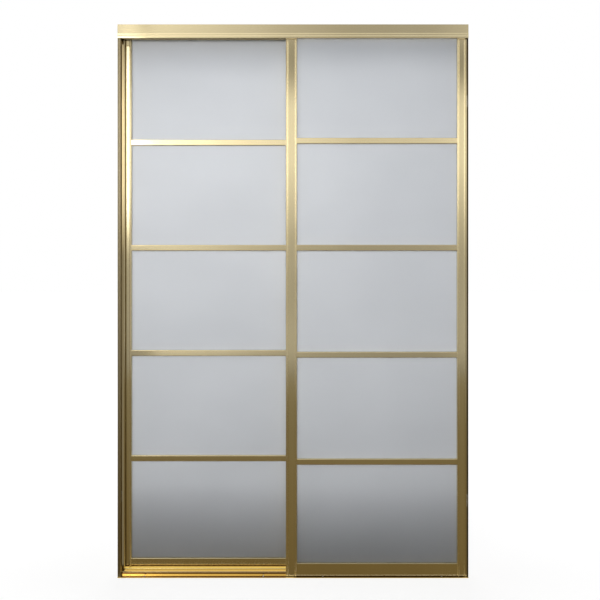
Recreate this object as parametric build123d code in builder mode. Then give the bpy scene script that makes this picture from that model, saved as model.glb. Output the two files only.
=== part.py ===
"""A pair of bypass sliding wardrobe doors in their frame, in millimetres.

Two framed doors of five frosted panes each roll on ribs in a bottom track and are guided by a header.
X runs along the tracks, Y from the room into the wardrobe, Z up from the floor.
"""

import os
from math import radians, tan

from build123d import *

# The opening that the frame fills
frame_width = 1524
frame_height = 2404

# The extruded sections and what keeps them apart
wall = 1.6
edge_radius = 1.2
fit_gap = 0.1
pin_gap = 0.05
running_gap = 0.3

# The header: a web, a reeded fascia, a divider between the lanes and a rear flange
header_half_depth = 38
header_web = 2
fascia_height = 60
reed_width = 8
reed_rise = 1.2
reed_heights = (8, 18)
divider_height = 50
rear_flange_height = 45

# The bottom track: a flat base with a rib for each lane and a divider between them
track_base = 2.4
track_edge_radius = 1
rib_width = 5
rib_top = 16
track_divider_width = 5
track_divider_top = 19
rib_cut_back = 14

# The jambs: a thin web that a closed door meets, and a hollow nose in the other lane
nose_width = 12
nose_depth = 14
nose_bead_radius = 1.6
nose_bead_rise = 1.2
nose_bead_inset = 3.2
port_boss_radius = 4

# Bumper pads on the jambs
bumper_thickness = 3
bumper_width = 16
bumper_height = 50
bumper_inset = 330

# The doors
door_overlap = 61.8
door_bottom = 4.5
door_top_gap = 20
outer_stile_width = 41
meeting_stile_width = 48
face_half_depth = 12
bead_radius = 4
bead_rise = 2
outer_bead_inset = 8.5
inner_bead_inset = 5
seat_depth = 13
pocket_depth = 10
pocket_half_width = 4.5
flange_wall = 1
rib_notch_half_width = 4
rib_notch_top = 20

# The rails and the bars between the panes
bottom_rail_top = 58
bottom_pocket_depth = 9
rail_floor = 2
top_rail_height = 26
top_pocket_depth = 9
bar_height_shares = (0.208, 0.4022, 0.5964, 0.7906)
bar_height = 25.4
bar_half_depth = 11.4
bar_pocket_depth = 8.4
bar_edge_radius = 2.2

# The panes and their gaskets
glass_thickness = 5
glass_bite = 6.5
gasket_wall = 1.2
gasket_lip = 7.5

# The screws that hold the frame members together
screw_radius = 1.7
screw_head_radius = 2.9
screw_head_height = 2.4
screw_length = 32
access_gap = 0.3
corner_screw_length = 26
countersink_angle = 82

# The rollers in the bottom rails
roller_inset = 92
wheel_radius = 12.2
wheel_half_width = 5
rolling_radius = 10
groove_half_width = 3.1
groove_rim_half_width = 3.8
bearing_radius = 5.5
bearing_half_width = 3
axle_radius = 2.5
axle_head_radius = 3.8
axle_head_height = 1
sheet = 1.2
cheek_gap = 1.2
cheek_drop = 18
housing_length = 48
housing_corner = 6
adjuster_height = 30
adjuster_reach = 8

# The top guides
guide_length = 60
guide_stem_length = 50
guide_head_height = 8
guide_corner = 8
guide_gap = 0.5

# The fixing holes, their heads and their places
fixing_radius = 2.25
fixing_head_radius = 3.9
header_hole_radius = 2.4
header_hole_share = 0.79
track_hole_shares = (0.17, 0.85)
track_hole_inset = 28
jamb_hole_inset = 150
jamb_hole_count = 4

# Places that follow from the sizes above
half_width = frame_width / 2
web_bottom = frame_height - header_web
fascia_bottom = frame_height - fascia_height
fascia_face = header_half_depth - reed_rise
fascia_back = fascia_face - wall
lane_clear = fascia_back - wall / 2
lane_offset = wall / 2 + lane_clear / 2
jamb_face = half_width - wall
jamb_half_depth = fascia_back - fit_gap
nose_front = jamb_half_depth - nose_bead_rise
port_x = half_width - nose_width / 2
port_y = nose_front - nose_depth / 2
closed_edge = jamb_face - bumper_thickness - running_gap
door_width = closed_edge + door_overlap / 2
bumper_heights = (bumper_inset, frame_height - bumper_inset)
header_hole_offset = header_hole_share * half_width
track_hole_offsets = [share * half_width for share in track_hole_shares]
jamb_hole_pitch = (frame_height - 2 * jamb_hole_inset) / (jamb_hole_count - 1)
jamb_hole_heights = [jamb_hole_inset + i * jamb_hole_pitch for i in range(jamb_hole_count)]
door_top = frame_height - door_top_gap
door_height = door_top - door_bottom
bead_line = face_half_depth + bead_rise - bead_radius
opening_width = door_width - outer_stile_width - meeting_stile_width
flange_inner = pocket_half_width + flange_wall
flange_outer = face_half_depth - wall
screw_line = flange_outer - screw_head_radius - fit_gap
access_radius = screw_head_radius + access_gap
bottom_pocket_floor = bottom_rail_top - bottom_pocket_depth
channel_top = bottom_pocket_floor - rail_floor
bottom_screw_height = bottom_rail_top - bottom_pocket_depth / 2
top_rail_bottom = door_top - top_rail_height
top_pocket_roof = top_rail_bottom + top_pocket_depth
top_channel_floor = top_pocket_roof + rail_floor
top_screw_height = top_rail_bottom + top_pocket_depth / 2
bar_heights = [share * frame_height for share in bar_height_shares]
screw_heights = [bottom_screw_height, *bar_heights, top_screw_height]
screw_spots = [(side * screw_line, z) for z in screw_heights for side in (-1, 1)]
lite_bottoms = [bottom_rail_top] + [z + bar_height / 2 for z in bar_heights]
lite_tops = [z - bar_height / 2 for z in bar_heights] + [top_rail_bottom]
wheel_height = rib_top + rolling_radius
cheek_inner = wheel_half_width + cheek_gap
cheek_outer = cheek_inner + sheet
clearance_radius = screw_radius + fit_gap
countersink_slope = tan(radians(countersink_angle / 2))

os.makedirs("parts", exist_ok=True)


def keep(piece, label):
    """Name a finished piece and write it to its own file."""
    piece.part.label = label
    export_step(piece.part, f"parts/{label}.step")


def section_across(x, y=0, z=0):
    """A plane square to X, drawn with Y to the right and Z up."""
    return Plane(origin=(x, y, z), x_dir=(0, 1, 0), z_dir=(1, 0, 0))


def section_facing(y):
    """A plane square to Y, drawn with X to the right and Z up."""
    return Plane.XZ.offset(-y)


def make_header():
    """The top track: one extrusion, open below, with a reeded fascia to the room."""
    with BuildPart() as header:
        with BuildSketch(section_across(-half_width)):
            with Locations((0, web_bottom)):
                Rectangle(2 * fascia_face, header_web, align=(Align.CENTER, Align.MIN))
            with Locations((-fascia_face, fascia_bottom)):
                Rectangle(wall, fascia_height, align=(Align.MIN, Align.MIN))
            with Locations((fascia_face, frame_height - rear_flange_height)):
                Rectangle(wall, rear_flange_height, align=(Align.MAX, Align.MIN))
            for height in reed_heights:
                middle = fascia_bottom + height
                with BuildLine():
                    reed_foot = (-fascia_face, middle - reed_width / 2)
                    reed_head = (-fascia_face, middle + reed_width / 2)
                    ThreePointArc(reed_foot, (-header_half_depth, middle), reed_head)
                    Line(reed_head, reed_foot)
                make_face()
        extrude(amount=frame_width)
        with BuildSketch(section_across(-jamb_face)):
            with Locations((0, frame_height - divider_height)):
                Rectangle(wall, divider_height - header_web, align=(Align.CENTER, Align.MIN))
        extrude(amount=2 * jamb_face)
        with Locations(Plane.XY.offset(frame_height)):
            with GridLocations(2 * header_hole_offset, 2 * lane_offset, 2, 2):
                Hole(header_hole_radius, depth=header_web)
            with Locations((-port_x, -port_y), (port_x, port_y)):
                CounterSinkHole(clearance_radius, screw_head_radius, header_web, countersink_angle)
    keep(header, "header_track")


def make_bottom_track():
    """The bottom track: a base plate with two round-topped ribs and a taller divider."""
    rib_length = frame_width - 2 * rib_cut_back
    with BuildPart() as track:
        with BuildSketch(section_across(-half_width)) as base:
            Rectangle(2 * header_half_depth, track_base, align=(Align.CENTER, Align.MIN))
            fillet(base.vertices().group_by(Axis.Y)[-1], track_edge_radius)
        extrude(amount=frame_width)
        with BuildSketch(section_across(-rib_length / 2)):
            for side in (-1, 1):
                rib_crown = rib_top - rib_width / 2
                with Locations((side * lane_offset, track_base)):
                    Rectangle(rib_width, rib_crown - track_base, align=(Align.CENTER, Align.MIN))
                with Locations((side * lane_offset, rib_crown)):
                    Circle(rib_width / 2)
            divider_crown = track_divider_top - track_divider_width / 2
            with Locations((0, track_base)):
                Rectangle(track_divider_width, divider_crown - track_base, align=(Align.CENTER, Align.MIN))
            with Locations((0, divider_crown)):
                Circle(track_divider_width / 2)
        extrude(amount=rib_length)
        with Locations(Plane.XY.offset(track_base)):
            for offset_x in track_hole_offsets:
                with GridLocations(2 * offset_x, 2 * track_hole_inset, 2, 2):
                    CounterSinkHole(fixing_radius, fixing_head_radius, track_base, countersink_angle)
        for side in (-1, 1):
            with Locations(Plane(origin=(side * port_x, side * port_y, 0), z_dir=(0, 0, -1))):
                CounterSinkHole(clearance_radius, screw_head_radius, track_base, countersink_angle)
    keep(track, "bottom_track")


def make_jamb(label, side):
    """A jamb: the same extrusion at both ends, turned half round, so its nose is in the free lane."""
    section = Plane(origin=(side * half_width, 0, track_base), x_dir=(-side, 0, 0), z_dir=(0, 0, 1))
    bead_middle = jamb_half_depth - nose_bead_radius
    with BuildPart() as jamb:
        with BuildSketch(section):
            Rectangle(wall, 2 * jamb_half_depth, align=(Align.MIN, Align.CENTER))
            with Locations((0, -nose_front)):
                Rectangle(nose_width, nose_depth, align=(Align.MIN, Align.MIN))
            with Locations((nose_bead_inset, -bead_middle), (nose_width - nose_bead_inset, -bead_middle)):
                Circle(nose_bead_radius)
            with Locations((nose_width / 2, -port_y)):
                Rectangle(nose_width - 2 * wall, nose_depth - 2 * wall, mode=Mode.SUBTRACT)
                Rectangle(nose_width, 2 * wall)
                Circle(port_boss_radius)
                Circle(clearance_radius, mode=Mode.SUBTRACT)
        extrude(amount=web_bottom - track_base)
        with BuildSketch(section_across(side * half_width, -side * lane_offset)):
            with Locations(*[(0, z) for z in jamb_hole_heights]):
                Circle(fixing_radius)
        extrude(amount=-side * wall, mode=Mode.SUBTRACT)
    keep(jamb, label)


def make_bumpers():
    """Soft pads on the webs of the jambs, two where each door closes."""
    with BuildPart() as bumpers:
        for side in (-1, 1):
            with BuildSketch(section_across(side * jamb_face, -side * lane_offset)):
                with Locations(*[(0, z) for z in bumper_heights]):
                    RectangleRounded(bumper_width, bumper_height, edge_radius)
            extrude(amount=-side * bumper_thickness)
    keep(bumpers, "jamb_bumpers")


def make_corner_screws():
    """Countersunk screws through the header and the track into the ports of the jambs."""
    cone_height = (screw_head_radius - clearance_radius) / countersink_slope
    with BuildPart() as screws:
        for side in (-1, 1):
            for face_z, up in ((frame_height, 1), (0, -1)):
                face = Plane(origin=(side * port_x, side * port_y, face_z), z_dir=(0, 0, up))
                with Locations(face.offset(-cone_height / 2)):
                    Cone(screw_radius, screw_head_radius - fit_gap, cone_height)
                with BuildSketch(face.offset(-cone_height)):
                    Circle(screw_radius)
                extrude(amount=-corner_screw_length)
    keep(screws, "frame_corner_screws")


def make_stile(label, width, outer_x, inward, lane_y):
    """A stile: a hollow extrusion with a bead near each edge and a glazing pocket on its inner edge."""
    section = Plane(origin=(outer_x, lane_y, door_bottom), x_dir=(inward, 0, 0), z_dir=(0, 0, inward))
    seat = width - seat_depth
    with BuildPart() as stile:
        with BuildSketch(section):
            with Locations((width / 2, 0)):
                RectangleRounded(width, 2 * face_half_depth, edge_radius)
            for bead_x in (outer_bead_inset, width - inner_bead_inset):
                with Locations((bead_x, bead_line), (bead_x, -bead_line)):
                    Circle(bead_radius)
            with Locations((wall, 0)):
                Rectangle(
                    seat - wall, 2 * flange_outer, align=(Align.MIN, Align.CENTER), mode=Mode.SUBTRACT
                )
            with Locations((width, 0)):
                Rectangle(
                    pocket_depth, 2 * pocket_half_width, align=(Align.MAX, Align.CENTER), mode=Mode.SUBTRACT
                )
            flange_width = seat_depth - 2 * wall
            flange_depth = flange_outer - flange_inner
            flange_middle = (flange_outer + flange_inner) / 2
            with Locations(
                (seat + wall + flange_width / 2, flange_middle),
                (seat + wall + flange_width / 2, -flange_middle),
            ):
                Rectangle(flange_width, flange_depth, mode=Mode.SUBTRACT)
        extrude(amount=inward * door_height)
        hole_spots = [*screw_spots, (0, adjuster_height)]
        with BuildSketch(section_across(outer_x, lane_y)):
            with Locations(*hole_spots):
                Circle(access_radius)
        extrude(amount=inward * wall, mode=Mode.SUBTRACT)
        with BuildSketch(section_across(outer_x + inward * seat, lane_y)):
            with Locations(*hole_spots):
                Circle(clearance_radius)
        extrude(amount=inward * seat_depth, mode=Mode.SUBTRACT)
        with BuildSketch(section_across(outer_x, lane_y)):
            with Locations((0, door_bottom)):
                notch_height = rib_notch_top - door_bottom
                Rectangle(2 * rib_notch_half_width, notch_height, align=(Align.CENTER, Align.MIN))
        extrude(amount=inward * width, mode=Mode.SUBTRACT)
    keep(stile, label)


def make_bottom_rail(label, left_x, lane_y):
    """The bottom rail: a glazing pocket above, screw ports beside it and an open channel for the rollers."""
    with BuildPart() as rail:
        with BuildSketch(section_across(left_x, lane_y)) as section:
            with Locations((0, door_bottom)):
                Rectangle(2 * face_half_depth, bottom_rail_top - door_bottom, align=(Align.CENTER, Align.MIN))
            fillet(section.vertices().group_by(Axis.Y)[-1], edge_radius)
            with Locations((0, bottom_rail_top)):
                Rectangle(
                    2 * pocket_half_width,
                    bottom_pocket_depth,
                    align=(Align.CENTER, Align.MAX),
                    mode=Mode.SUBTRACT,
                )
            with Locations((0, door_bottom)):
                Rectangle(
                    2 * flange_outer,
                    channel_top - door_bottom,
                    align=(Align.CENTER, Align.MIN),
                    mode=Mode.SUBTRACT,
                )
            with Locations((-screw_line, bottom_screw_height), (screw_line, bottom_screw_height)):
                Circle(clearance_radius, mode=Mode.SUBTRACT)
        extrude(amount=opening_width)
    keep(rail, label)


def make_top_rail(label, left_x, lane_y):
    """The top rail: a glazing pocket below, screw ports beside it and a channel above for the guides."""
    with BuildPart() as rail:
        with BuildSketch(section_across(left_x, lane_y)) as section:
            with Locations((0, top_rail_bottom)):
                Rectangle(2 * face_half_depth, top_rail_height, align=(Align.CENTER, Align.MIN))
            fillet(section.vertices().group_by(Axis.Y)[0], edge_radius)
            with Locations((0, top_rail_bottom)):
                Rectangle(
                    2 * pocket_half_width,
                    top_pocket_depth,
                    align=(Align.CENTER, Align.MIN),
                    mode=Mode.SUBTRACT,
                )
            with Locations((0, door_top)):
                Rectangle(
                    2 * flange_outer,
                    door_top - top_channel_floor,
                    align=(Align.CENTER, Align.MAX),
                    mode=Mode.SUBTRACT,
                )
            with Locations((-screw_line, top_screw_height), (screw_line, top_screw_height)):
                Circle(clearance_radius, mode=Mode.SUBTRACT)
        extrude(amount=opening_width)
    keep(rail, label)


def make_bar(label, left_x, lane_y, height):
    """A bar between two panes: an H section with a glazing pocket above and below."""
    with BuildPart() as bar:
        with BuildSketch(section_across(left_x, lane_y, height)):
            RectangleRounded(2 * bar_half_depth, bar_height, bar_edge_radius)
            for edge, side in ((bar_height / 2, Align.MAX), (-bar_height / 2, Align.MIN)):
                with Locations((0, edge)):
                    Rectangle(
                        2 * pocket_half_width,
                        bar_pocket_depth,
                        align=(Align.CENTER, side),
                        mode=Mode.SUBTRACT,
                    )
            with Locations((-screw_line, 0), (screw_line, 0)):
                Circle(clearance_radius, mode=Mode.SUBTRACT)
        extrude(amount=opening_width)
    keep(bar, label)


def make_pane(label, middle_x, lane_y, bottom, top):
    """A pane of frosted glass, held on all four edges."""
    with BuildPart() as pane:
        with BuildSketch(Plane.XY.offset(bottom - glass_bite)):
            with Locations((middle_x, lane_y)):
                Rectangle(opening_width + 2 * glass_bite, glass_thickness)
        extrude(amount=top - bottom + 2 * glass_bite)
    keep(pane, label)


def make_gaskets(label, middle_x, lane_y):
    """The channel gaskets of one door, one round each pane, gripped by the glazing pockets."""
    with BuildPart() as gaskets:
        for bottom, top in zip(lite_bottoms, lite_tops):
            pane_width = opening_width + 2 * glass_bite
            pane_height = top - bottom + 2 * glass_bite
            pane_spot = (middle_x, (bottom + top) / 2)
            with BuildSketch(section_facing(lane_y + pocket_half_width)):
                with Locations(pane_spot):
                    Rectangle(pane_width + 2 * gasket_wall, pane_height + 2 * gasket_wall)
                    Rectangle(pane_width - 2 * gasket_lip, pane_height - 2 * gasket_lip, mode=Mode.SUBTRACT)
            extrude(amount=2 * pocket_half_width)
            with BuildSketch(section_facing(lane_y + glass_thickness / 2)):
                with Locations(pane_spot):
                    Rectangle(pane_width, pane_height)
            extrude(amount=glass_thickness, mode=Mode.SUBTRACT)
    keep(gaskets, label)


def make_door_screws(label, seats, lane_y):
    """The screws of one door: through each stile into the ports of the rails and bars."""
    with BuildPart() as screws:
        for seat_x, inward in seats:
            seat = section_across(seat_x, lane_y)
            with BuildSketch(seat):
                with Locations(*screw_spots):
                    Circle(screw_head_radius)
            extrude(amount=-inward * screw_head_height)
            with BuildSketch(seat):
                with Locations(*screw_spots):
                    Circle(screw_radius)
            extrude(amount=inward * screw_length)
    keep(screws, label)


def make_roller(label, wheel_x, inward, seat_x, lane_y):
    """A bottom roller: a sheet housing, a grooved wheel on a ball bearing, its axle and its adjuster."""
    spin = Axis((wheel_x, lane_y, wheel_height), (0, 1, 0))
    end_x = wheel_x - inward * housing_length / 2
    cheek_height = channel_top - cheek_drop
    with BuildPart() as housing:
        with BuildSketch(Plane.XY.offset(channel_top - sheet)):
            with Locations((wheel_x, lane_y)):
                Rectangle(housing_length, 2 * (flange_outer - fit_gap))
        extrude(amount=sheet)
        with BuildSketch(section_facing(lane_y + cheek_outer)) as cheek:
            with Locations((wheel_x, channel_top)):
                Rectangle(housing_length, cheek_height, align=(Align.CENTER, Align.MAX))
            fillet(cheek.vertices().group_by(Axis.Y)[0], housing_corner)
        extrude(amount=2 * cheek_outer)
        with BuildSketch(section_facing(lane_y + cheek_inner)):
            with Locations((wheel_x + inward * sheet, channel_top - sheet)):
                Rectangle(housing_length, cheek_height, align=(Align.CENTER, Align.MAX))
        extrude(amount=2 * cheek_inner, mode=Mode.SUBTRACT)
        with BuildSketch(section_facing(lane_y + cheek_outer)):
            with Locations((wheel_x, wheel_height)):
                Circle(axle_radius + pin_gap)
        extrude(amount=2 * cheek_outer, mode=Mode.SUBTRACT)
        with BuildSketch(section_across(end_x, lane_y)):
            with Locations((0, adjuster_height)):
                Circle(clearance_radius)
        extrude(amount=inward * sheet, mode=Mode.SUBTRACT)
    keep(housing, f"{label}_housing")

    with BuildPart() as wheel:
        with BuildSketch(section_across(wheel_x, lane_y, wheel_height)):
            with BuildLine():
                Polyline(
                    (-wheel_half_width, bearing_radius),
                    (wheel_half_width, bearing_radius),
                    (wheel_half_width, wheel_radius),
                    (groove_rim_half_width, wheel_radius),
                    (groove_half_width, rolling_radius - running_gap),
                    (-groove_half_width, rolling_radius - running_gap),
                    (-groove_rim_half_width, wheel_radius),
                    (-wheel_half_width, wheel_radius),
                    close=True,
                )
            make_face()
        revolve(axis=spin)
    keep(wheel, f"{label}_wheel")

    with BuildPart() as bearing:
        with BuildSketch(section_facing(lane_y + bearing_half_width)):
            with Locations((wheel_x, wheel_height)):
                Circle(bearing_radius)
                Circle(axle_radius + pin_gap, mode=Mode.SUBTRACT)
        extrude(amount=2 * bearing_half_width)
    keep(bearing, f"{label}_bearing")

    with BuildPart() as axle:
        with BuildSketch(section_facing(lane_y + cheek_outer + axle_head_height)):
            with Locations((wheel_x, wheel_height)):
                Circle(axle_radius)
        extrude(amount=2 * (cheek_outer + axle_head_height))
        for side_y in (lane_y + cheek_outer + axle_head_height, lane_y - cheek_outer):
            with BuildSketch(section_facing(side_y)):
                with Locations((wheel_x, wheel_height)):
                    Circle(axle_head_radius)
            extrude(amount=axle_head_height)
    keep(axle, f"{label}_axle")

    with BuildPart() as adjuster:
        with BuildSketch(section_across(seat_x, lane_y)):
            with Locations((0, adjuster_height)):
                Circle(screw_head_radius)
        extrude(amount=-inward * screw_head_height)
        with BuildSketch(section_across(seat_x, lane_y)):
            with Locations((0, adjuster_height)):
                Circle(screw_radius)
        extrude(amount=end_x - seat_x + inward * adjuster_reach)
    keep(adjuster, f"{label}_adjuster")


def make_guide(label, middle_x, lane_y):
    """A top guide: a nylon block in the rail's channel with a wide head that rides in the header lane."""
    with BuildPart() as guide:
        with BuildSketch(Plane.XY.offset(top_channel_floor)):
            with Locations((middle_x, lane_y)):
                Rectangle(guide_stem_length, 2 * (flange_outer - fit_gap))
        extrude(amount=door_top - top_channel_floor)
        with BuildSketch(Plane.XY.offset(door_top)):
            with Locations((middle_x, lane_y)):
                RectangleRounded(guide_length, lane_clear - 2 * guide_gap, guide_corner)
        extrude(amount=guide_head_height)
    keep(guide, label)


def make_door(name, left_x, left_width, right_width, lane_y):
    """One door at its closed place, every piece in its own file."""
    right_x = left_x + door_width
    rail_x = left_x + left_width
    middle_x = rail_x + opening_width / 2
    left_seat = rail_x - seat_depth
    right_seat = right_x - right_width + seat_depth
    make_stile(f"{name}_left_stile", left_width, left_x, 1, lane_y)
    make_stile(f"{name}_right_stile", right_width, right_x, -1, lane_y)
    make_bottom_rail(f"{name}_bottom_rail", rail_x, lane_y)
    make_top_rail(f"{name}_top_rail", rail_x, lane_y)
    for i, height in enumerate(bar_heights):
        make_bar(f"{name}_bar_{i + 1}", rail_x, lane_y, height)
    for i, (bottom, top) in enumerate(zip(lite_bottoms, lite_tops)):
        make_pane(f"{name}_pane_{i + 1}", middle_x, lane_y, bottom, top)
    make_gaskets(f"{name}_gaskets", middle_x, lane_y)
    make_door_screws(f"{name}_screws", ((left_seat, 1), (right_seat, -1)), lane_y)
    for side, stile_x, seat_x, inward in (("left", left_x, left_seat, 1), ("right", right_x, right_seat, -1)):
        spot_x = stile_x + inward * roller_inset
        make_roller(f"{name}_{side}_roller", spot_x, inward, seat_x, lane_y)
        make_guide(f"{name}_{side}_guide", spot_x, lane_y)


make_header()
make_bottom_track()
make_jamb("left_jamb", -1)
make_jamb("right_jamb", 1)
make_bumpers()
make_corner_screws()
make_door("left_door", -closed_edge, outer_stile_width, meeting_stile_width, lane_offset)
make_door("right_door", closed_edge - door_width, meeting_stile_width, outer_stile_width, -lane_offset)
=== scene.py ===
"""Gold framed sliding wardrobe doors with frosted panes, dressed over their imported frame.

Sections are drawn in millimetres and laid out in metres: X along the tracks, Y into the wardrobe, Z up.
"""

from math import asin, cos, pi, radians, sin

import bmesh
import bpy
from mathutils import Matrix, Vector


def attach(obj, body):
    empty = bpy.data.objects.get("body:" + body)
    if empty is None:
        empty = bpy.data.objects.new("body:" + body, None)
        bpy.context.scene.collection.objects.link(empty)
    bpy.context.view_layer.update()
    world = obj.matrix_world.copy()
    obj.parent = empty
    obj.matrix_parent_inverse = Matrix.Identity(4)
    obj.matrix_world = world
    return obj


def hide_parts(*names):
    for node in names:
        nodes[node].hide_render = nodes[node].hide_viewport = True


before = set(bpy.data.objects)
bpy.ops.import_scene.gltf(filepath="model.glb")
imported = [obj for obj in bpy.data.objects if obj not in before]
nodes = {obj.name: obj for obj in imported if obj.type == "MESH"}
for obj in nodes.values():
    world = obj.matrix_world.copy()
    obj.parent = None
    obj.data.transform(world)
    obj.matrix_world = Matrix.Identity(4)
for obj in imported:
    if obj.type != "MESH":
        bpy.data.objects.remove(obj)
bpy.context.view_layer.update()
scene = bpy.context.scene
scene.view_settings.view_transform = "Standard"

mm = 0.001

# The frame: header, bottom track and jambs
half_width = 762
frame_height = 2404
half_depth = 38
wall = 1.6
fascia_face = 36.8
fascia_bottom = 2344
reed_rise = 1.2
reed_half = 4
reed_middles = (2352, 2362)
rear_flange_foot = 2359
divider_foot = 2354
web_underside = 2402
lane = 18
track_base = 2.4
rib_half = 2.5
rib_top = 16
track_divider_top = 19
rib_end = 748
head_holes = 601.98
track_holes = (129.54, 647.7)
track_hole_y = 28
jamb_depth = 35.1
jamb_holes = (150, 851.33, 1552.67, 2254)
nose_width = 12
nose_front = 33.9
nose_back = 19.9
port = (756, 26.9)
port_radius = 1.8
port_boss = 4
lip_round = 0.5
fin_root = 0.4
rib_root = 0.3
track_round = 1
nose_round = 0.8
jamb_beads = (3.2, 8.8)
jamb_bead_line = 33.5
jamb_bead_radius = 1.6

# The doors
door_width = 788
outer_stile = 41
meeting_stile = 48
closed_edge = 757.1
rail_length = door_width - outer_stile - meeting_stile
door_bottom = 4.5
door_top = 2384
door_half = 12
bead_radius = 4
bead_line = 10
outer_bead = 8.5
inner_bead = 5
edge_round = 1.2
pocket_half = 4.5
pocket_depth = 10
flange_inner = 5.5
rail_top = 58
rail_pocket = 49
rail_channel = 47
top_rail_foot = 2358
bar_half_depth = 11.4
bar_height = 25.4
bar_round = 2.2
first_bar = 500.03
bar_pitch = 466.86
bar_count = 4
screw_line = 7.4
screw_heights = [53.5] + [first_bar + i * bar_pitch for i in range(bar_count)] + [2362.5]
seat_depth = 13
roller_inset = 92
wheel_height = 26
bar_pocket = 8.4
notch_half = 4
notch_top = 20

# Holes: their radii, and the heights or depths that the drills and countersinks cut
fixing_radius = 2.25
head_hole_radius = 2.4
head_drill = (2400, 2406)
port_drill = (2400, 2403)
port_sink = (2402.735, 2405)
port_sink_radius = 3.77
track_drill = (-1, 2)
track_sink = (0.5, 3.2)
track_sink_radius = 4.597
jamb_drill = 3
access_radius = 3.2
access_drill = (-2, 3)
adjuster_access = 30
overrun = 2
recess_reach = 1.6
recess_half = 0.35
recess_depth = 1.2

# Profiles of the turned pieces, as places along the axis with a radius at each
near_axis = 0.01
tyre_profile = (
    [(-5, 5.5), (5, 5.5), (5, 11.6), (4.4, 12.2), (3.8, 12.2), (3.1, 9.7)]
    + [(-3.1, 9.7), (-3.8, 12.2), (-4.4, 12.2), (-5, 11.6)]
)
bearing_profile = (
    [(-3, 2.55), (3, 2.55), (3, 3.4), (2.6, 3.5), (2.6, 4.5), (3, 4.6), (3, 5.5)]
    + [(-3, 5.5), (-3, 4.6), (-2.6, 4.5), (-2.6, 3.5), (-3, 3.4)]
)
axle_profile = (
    [(-8.4, near_axis), (-8.4, 2.6), (-8.1, 3.4), (-7.4, 3.8), (-7.4, 2.5), (7.4, 2.5)]
    + [(7.4, 3.8), (8.1, 3.4), (8.4, 2.6), (8.4, near_axis)]
)
pan_screw_profile = (
    [(-32, near_axis), (-31, 1.5), (-30, 1.7)]
    + [(0, 1.7), (0, 2.9), (1.2, 2.9), (2, 2.3), (2.4, 1.4), (2.4, near_axis)]
)
flat_screw_profile = (
    [(-27.2, near_axis), (-26, 1.5), (-25, 1.7)]
    + [(-1.27, 1.7), (-0.1, 2.7), (0, 2.7), (0, near_axis)]
)


def start_finish(name):
    """A new material with its tree and its surface shader."""
    material = bpy.data.materials.new(name)
    material.use_nodes = True
    return material, material.node_tree, material.node_tree.nodes["Principled BSDF"]


def grain(tree, stretch, detail=2.0):
    """Noise on the piece's own coordinates, its cells in a metre along each axis given by stretch."""
    place = tree.nodes.new("ShaderNodeTexCoord")
    mapping = tree.nodes.new("ShaderNodeMapping")
    mapping.inputs["Scale"].default_value = stretch
    tree.links.new(place.outputs["Object"], mapping.inputs["Vector"])
    cells = tree.nodes.new("ShaderNodeTexNoise")
    cells.inputs["Scale"].default_value = 1.0
    cells.inputs["Detail"].default_value = detail
    tree.links.new(mapping.outputs["Vector"], cells.inputs["Vector"])
    return cells.outputs["Fac"]


def between(tree, value, low, high):
    """The middle of a noise's range spread from low to high."""
    spread = tree.nodes.new("ShaderNodeMapRange")
    spread.inputs["From Min"].default_value = 0.3
    spread.inputs["From Max"].default_value = 0.7
    spread.inputs["To Min"].default_value = low
    spread.inputs["To Max"].default_value = high
    tree.links.new(value, spread.inputs["Value"])
    return spread.outputs["Result"]


def product(tree, first, second):
    """Two values multiplied."""
    node = tree.nodes.new("ShaderNodeMath")
    node.operation = "MULTIPLY"
    tree.links.new(first, node.inputs[0])
    tree.links.new(second, node.inputs[1])
    return node.outputs["Value"]


def tints(tree, value, *stops):
    """Colours along a value, each stop a place from 0 to 1 and a colour."""
    ramp = tree.nodes.new("ShaderNodeValToRGB")
    elements = ramp.color_ramp.elements
    while len(elements) < len(stops):
        elements.new(0.5)
    for element, (place, colour) in zip(elements, stops):
        element.position = place
        element.color = (*colour, 1.0)
    tree.links.new(value, ramp.inputs["Fac"])
    return ramp.outputs["Color"]


def relief(tree, shader, height, strength, distance):
    """Fine bumps on the surface."""
    bump = tree.nodes.new("ShaderNodeBump")
    bump.inputs["Strength"].default_value = strength
    bump.inputs["Distance"].default_value = distance
    tree.links.new(height, bump.inputs["Height"])
    tree.links.new(bump.outputs["Normal"], shader.inputs["Normal"])


def gold_anodised(name, along, deep, pale, smooth, rough, coat):
    """Gold anodised aluminium, with fine die lines along one axis and a dye uneven between two tones."""
    material, tree, shader = start_finish(name)
    across_cells, along_cells, dye_cells = 520.0, 1.6, 2.2
    stretch = [across_cells] * 3
    stretch[along] = along_cells
    die_lines = grain(tree, stretch, 3.0)
    dye = grain(tree, [dye_cells] * 3, 3.0)
    colour = tints(tree, dye, (0.32, deep), (0.68, pale))
    tree.links.new(colour, shader.inputs["Base Color"])
    shader.inputs["Metallic"].default_value = 1.0
    roughness = product(tree, between(tree, die_lines, smooth, rough), between(tree, dye, 0.9, 1.12))
    tree.links.new(roughness, shader.inputs["Roughness"])
    shader.inputs["Specular Tint"].default_value = (0.93, 0.86, 0.70, 1.0)
    shader.inputs["Coat Weight"].default_value = coat
    shader.inputs["Coat Roughness"].default_value = 0.08
    shader.inputs["Coat IOR"].default_value = 1.77
    relief(tree, shader, die_lines, 0.10, 0.0002)
    return material


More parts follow.
